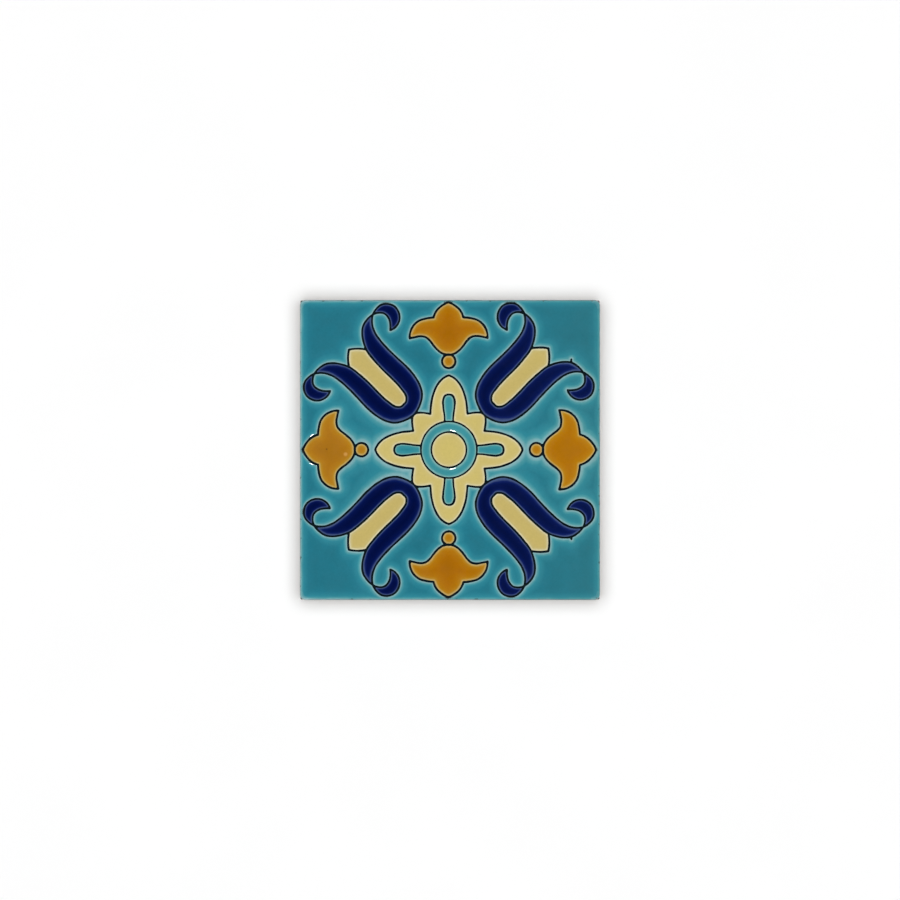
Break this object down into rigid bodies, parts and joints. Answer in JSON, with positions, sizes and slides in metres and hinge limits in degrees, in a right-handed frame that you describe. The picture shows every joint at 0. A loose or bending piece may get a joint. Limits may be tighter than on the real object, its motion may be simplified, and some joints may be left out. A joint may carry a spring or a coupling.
{
  "type": "backsplash tile",
  "caption": "Square ceramic wall tile, glazed face with a mirrored floral ornament in separated pools of glaze, rounded glazed arrises and a keyed back for tile adhesive.",
  "frame": {"origin": "centre of the back, on the plane of its rim and ribs, which is bedded on the wall", "axes": "+Z out of the glazed face, at right angles to the back; +X and +Y along the tile's sides, with +Y up the ornament as the picture shows it"},
  "size_m": [0.1, 0.1, 0.008],
  "materials": {
    "turquoise_glaze": "polished",
    "cobalt_glaze": "polished",
    "cream_glaze": "polished",
    "amber_glaze": "polished",
    "black_line": "matte",
    "clay_biscuit": "matte"
  },
  "bodies": {
    "root": {"tile": "turquoise_glaze"}
  },
  "joints": []
}
